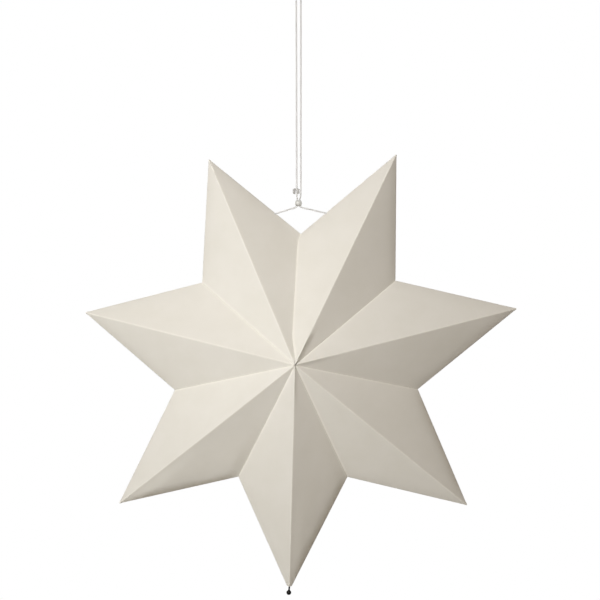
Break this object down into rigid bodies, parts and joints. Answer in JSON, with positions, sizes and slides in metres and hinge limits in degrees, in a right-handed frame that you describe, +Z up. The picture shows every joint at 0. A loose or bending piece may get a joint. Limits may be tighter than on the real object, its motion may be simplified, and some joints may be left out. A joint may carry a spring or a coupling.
{
  "type": "paper star",
  "caption": "Hanging star of folded off-white card points glued at their valleys, closed and hung by a looped cord with a bead, with a small ball pin in its lowest tip.",
  "frame": {"origin": "inside top of the hanging loop, where a hook bears on the cord", "axes": "+Z up along the hanging cord, -Y out of the star's front, +X to the right seen from the front"},
  "size_m": [0.4336, 0.1352, 0.6185],
  "materials": {
    "card": "uncoated off-white card",
    "cord": "twisted pale grey cord",
    "bead": "satin grey metal bead",
    "pin": "black nickel plated, polished"
  },
  "bodies": {
    "root": {"top_right_point": "card", "top_left_point": "card", "left_point": "card", "lower_left_point": "card", "bottom_point": "card", "lower_right_point": "card", "right_point": "card", "hanging_cord": "cord", "joining_knot": "cord", "left_end_knot": "cord", "right_end_knot": "cord", "closing_bead": "bead", "tip_ball_pin": "pin"}
  },
  "joints": []
}
